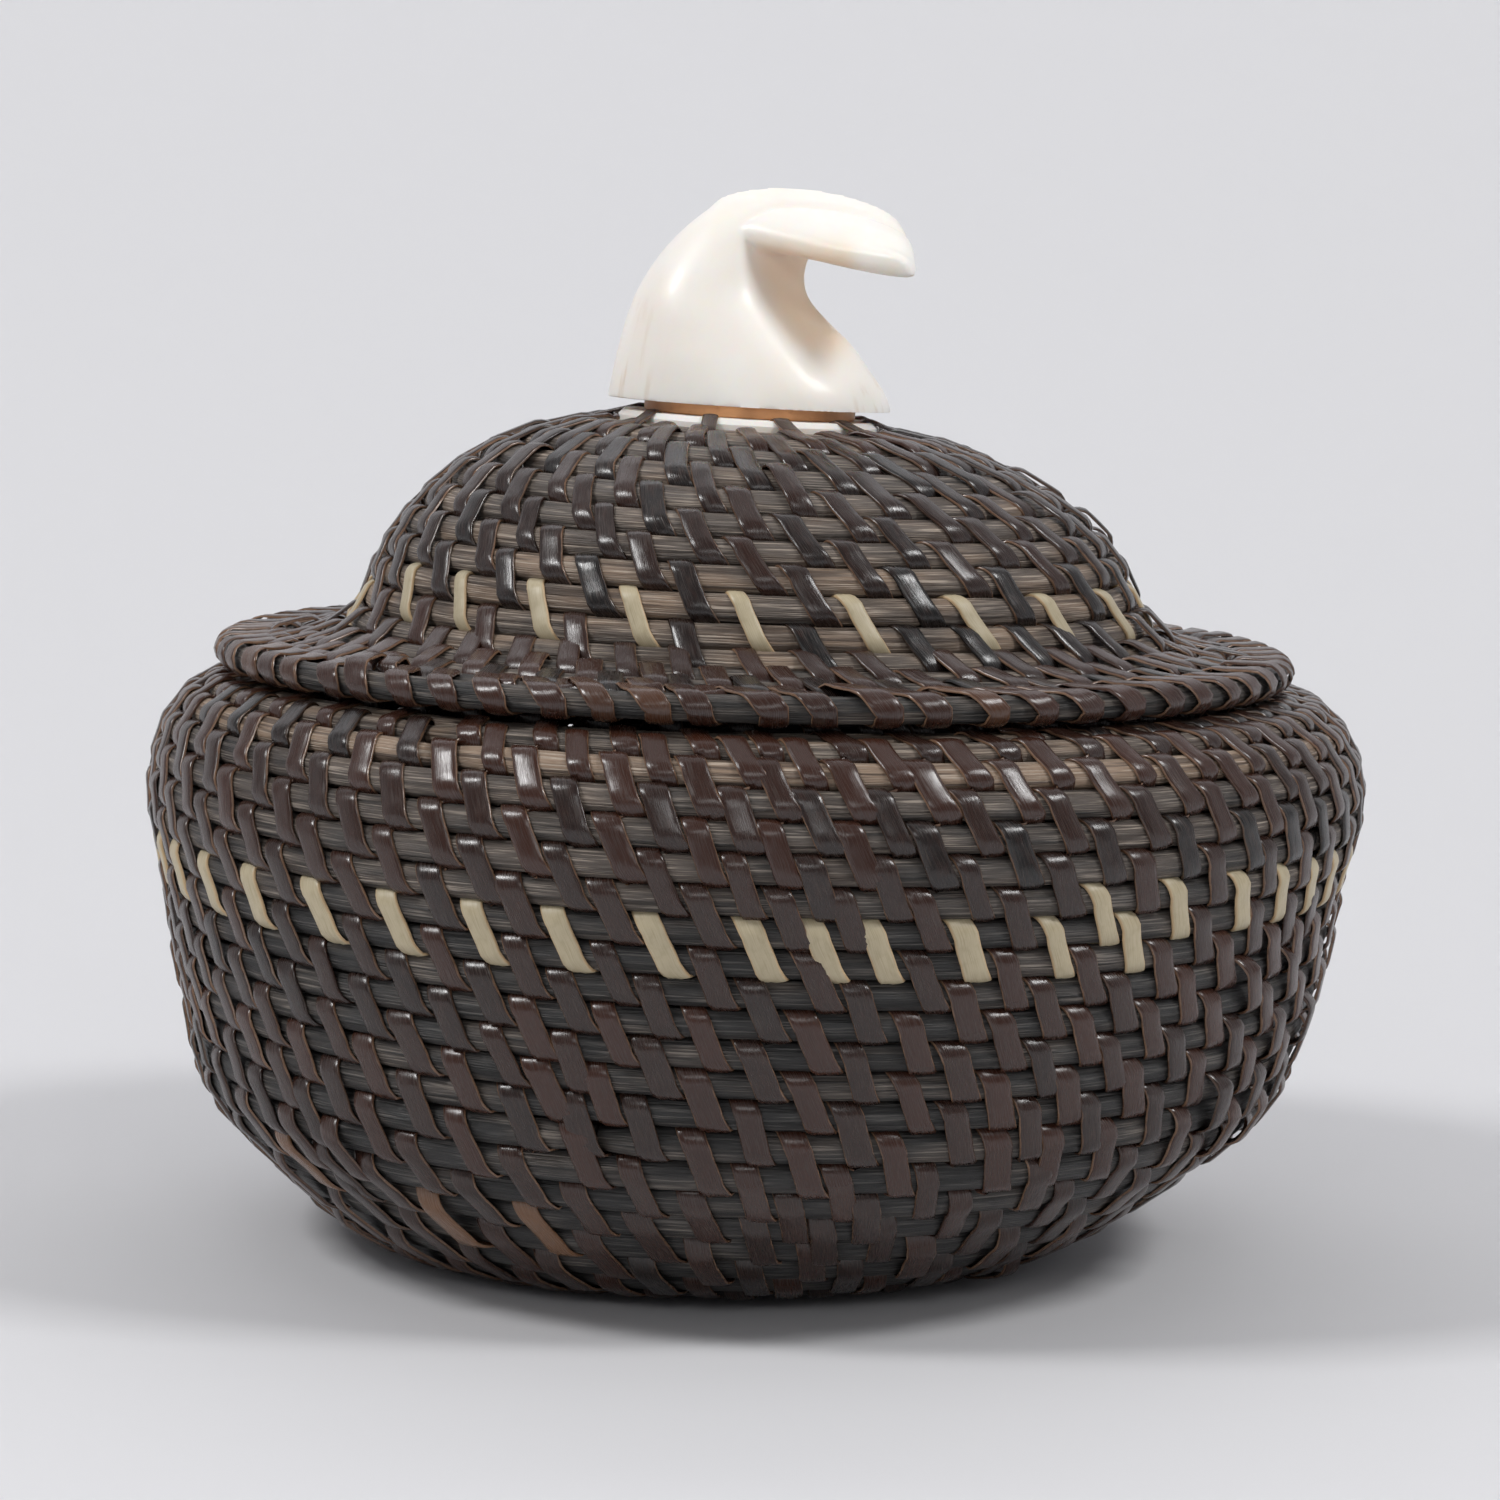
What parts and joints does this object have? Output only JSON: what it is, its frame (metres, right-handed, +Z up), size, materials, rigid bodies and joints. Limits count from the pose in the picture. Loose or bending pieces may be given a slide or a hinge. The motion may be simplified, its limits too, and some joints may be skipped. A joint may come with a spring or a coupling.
{
  "type": "baleen basket",
  "caption": "Small round coiled basket with a full shoulder, a wide-brimmed domed lid that lifts off and a carved whale's-tail finial, for keeping small things.",
  "frame": {"origin": "under the middle of the bounding box, on the face that the basket rests on", "axes": "+Z up through the lid and its finial, +X to the right in the picture's view, +Y away from the viewer"},
  "size_m": [0.1008, 0.1008, 0.0884],
  "materials": {
    "black_baleen": "satin, faintly fibrous",
    "grey_baleen": "satin, fibrous, grey-brown",
    "tan_baleen": "satin, fibrous, tan",
    "ivory": "polished",
    "tan_leather": "smooth"
  },
  "bodies": {
    "basket": {"base_starter_disc": "ivory", "base_rod": "black_baleen", "heel_rod": "black_baleen", "lower_wall_rod": "black_baleen", "middle_wall_rod": "black_baleen", "band_rod": "black_baleen", "upper_wall_rod": "grey_baleen", "tan_shoulder_rod": "tan_baleen", "rim_rod": "grey_baleen"},
    "lid": {"lid_starter_disc": "ivory", "lid_crown_rod": "grey_baleen", "lid_dome_rod": "grey_baleen", "lid_band_rod": "grey_baleen", "lid_flange_rod": "black_baleen", "lid_edge_rod": "grey_baleen", "lid_lip_rod": "black_baleen", "finial_spacer": "tan_leather", "finial_peg": "ivory", "whale_tail_finial": "ivory"}
  },
  "joints": [
    {"name": "lid_lift", "type": "slide", "parent": "basket", "child": "lid", "axis": [0, 0, 1], "range_m": [0, 0.06]}
  ]
}
